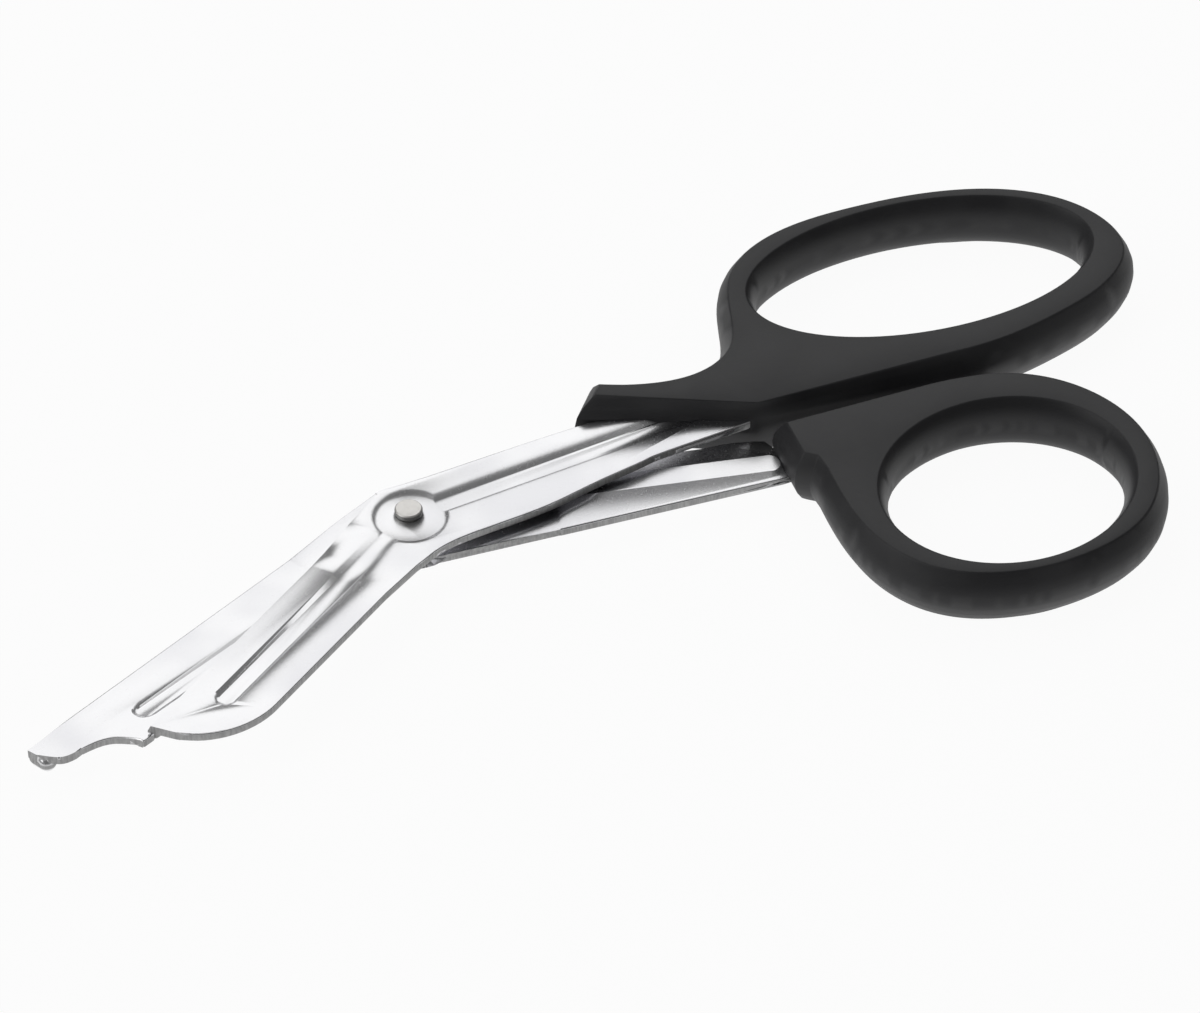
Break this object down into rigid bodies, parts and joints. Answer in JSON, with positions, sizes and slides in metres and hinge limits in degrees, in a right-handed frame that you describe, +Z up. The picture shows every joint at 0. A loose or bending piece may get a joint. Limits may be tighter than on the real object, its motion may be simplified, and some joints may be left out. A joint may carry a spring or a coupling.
{
  "type": "bandage scissors",
  "caption": "Angled scissors for cutting bandages and clothing, with a blunt foot on the lower blade, pressed steel blades and two moulded finger loops.",
  "frame": {"origin": "centre of the bounding box in plan, at the surface that the scissors lie on", "axes": "+X along the handles, away from the foot; +Y towards the large loop; +Z up, along the rivet"},
  "size_m": [0.1886, 0.0886, 0.0098],
  "materials": {
    "blade_steel": "satin, fine grain along the blade",
    "handle_plastic": "matt moulded, fine grain",
    "rivet_steel": "dull, pressed"
  },
  "bodies": {
    "thumb_half": {"foot_blade": "blade_steel", "thumb_handle": "handle_plastic", "rivet": "rivet_steel"},
    "finger_half": {"cutting_blade": "blade_steel", "finger_handle": "handle_plastic"}
  },
  "joints": [
    {"name": "pivot", "type": "hinge", "parent": "thumb_half", "child": "finger_half", "pos_m": [-0.02944, 0.00629, 0.004], "axis": [0, 0, 1], "range_deg": [-1.1, 55]}
  ]
}
